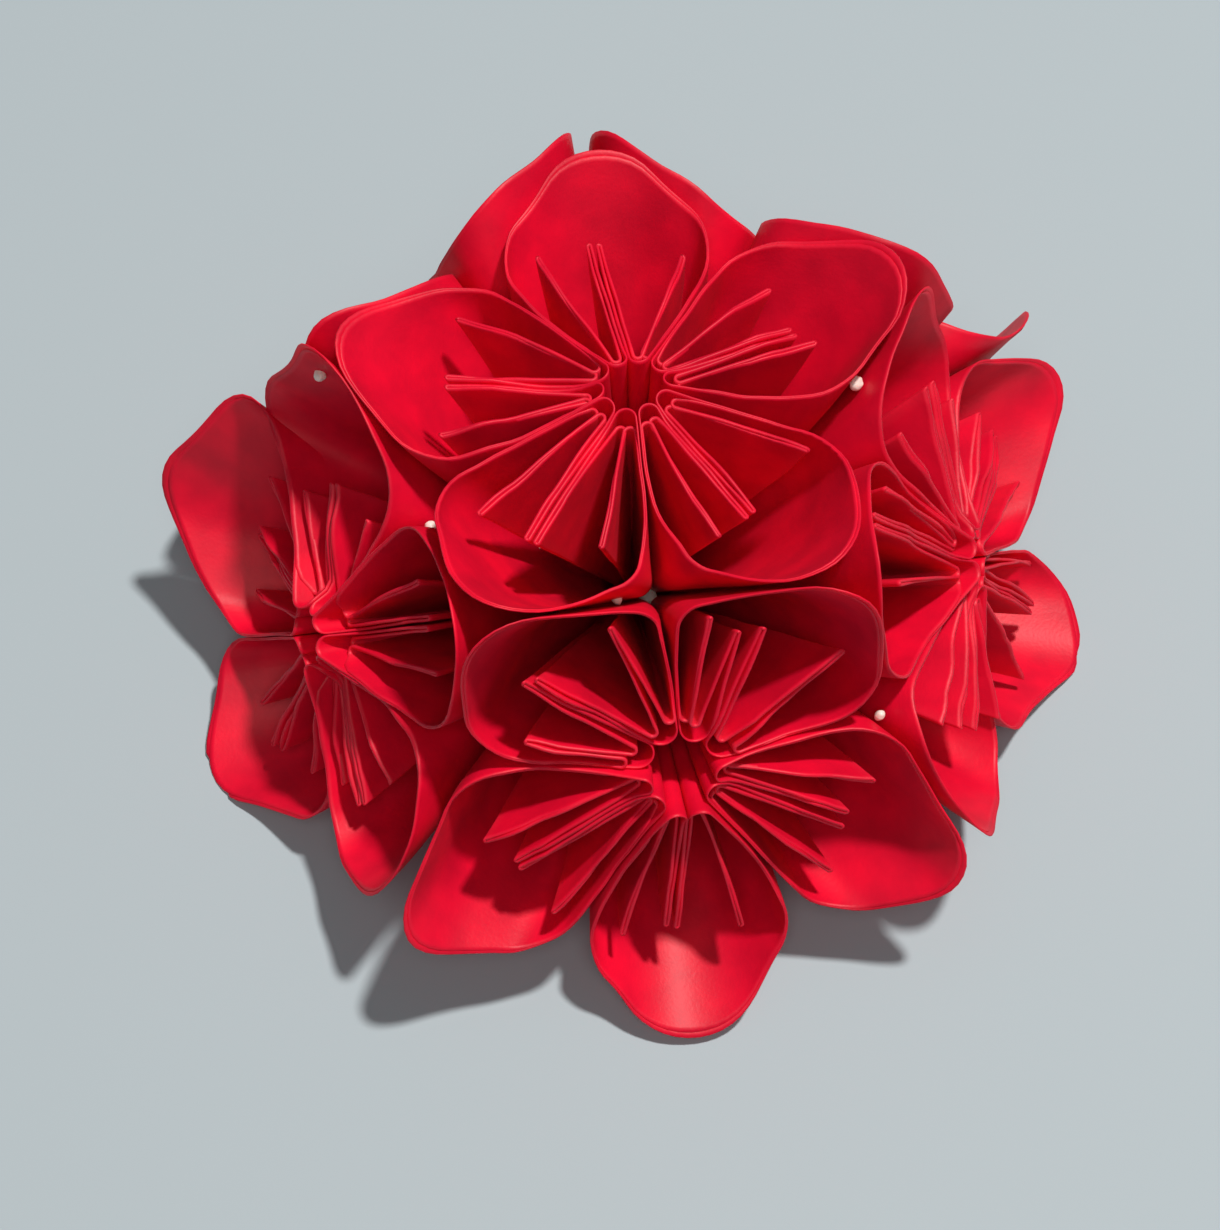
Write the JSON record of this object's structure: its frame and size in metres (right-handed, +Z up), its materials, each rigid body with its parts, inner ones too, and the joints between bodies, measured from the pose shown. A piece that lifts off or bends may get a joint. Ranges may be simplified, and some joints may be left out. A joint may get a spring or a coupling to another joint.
{
  "type": "kusudama paper half ball",
  "caption": "Half of a kusudama ball: folded paper flowers with pleated, cup-shaped petals, glued side by side into a dome that stands on its lowest petals.",
  "frame": {"origin": "on the dome's upright axis, at the level of the table under its lowest petals", "axes": "+Z up along the top flower's axis, -Y towards the front flower of the ring"},
  "size_m": [0.0487, 0.049, 0.0238],
  "materials": {
    "red_paper": "satin",
    "dried_glue": "satin"
  },
  "bodies": {
    "root": {"top_petal_1": "red_paper", "top_petal_2": "red_paper", "top_petal_3": "red_paper", "top_petal_4": "red_paper", "top_petal_5": "red_paper", "front_petal_1": "red_paper", "front_petal_2": "red_paper", "front_petal_3": "red_paper", "front_petal_4": "red_paper", "front_petal_5": "red_paper", "right_petal_1": "red_paper", "right_petal_2": "red_paper", "right_petal_3": "red_paper", "right_petal_4": "red_paper", "right_petal_5": "red_paper", "back_right_petal_1": "red_paper", "back_right_petal_2": "red_paper", "back_right_petal_3": "red_paper", "back_right_petal_4": "red_paper", "back_right_petal_5": "red_paper", "back_left_petal_1": "red_paper", "back_left_petal_2": "red_paper", "back_left_petal_3": "red_paper", "back_left_petal_4": "red_paper", "back_left_petal_5": "red_paper", "left_petal_1": "red_paper", "left_petal_2": "red_paper", "left_petal_3": "red_paper", "left_petal_4": "red_paper", "left_petal_5": "red_paper", "glue_dots": "dried_glue"}
  },
  "joints": []
}
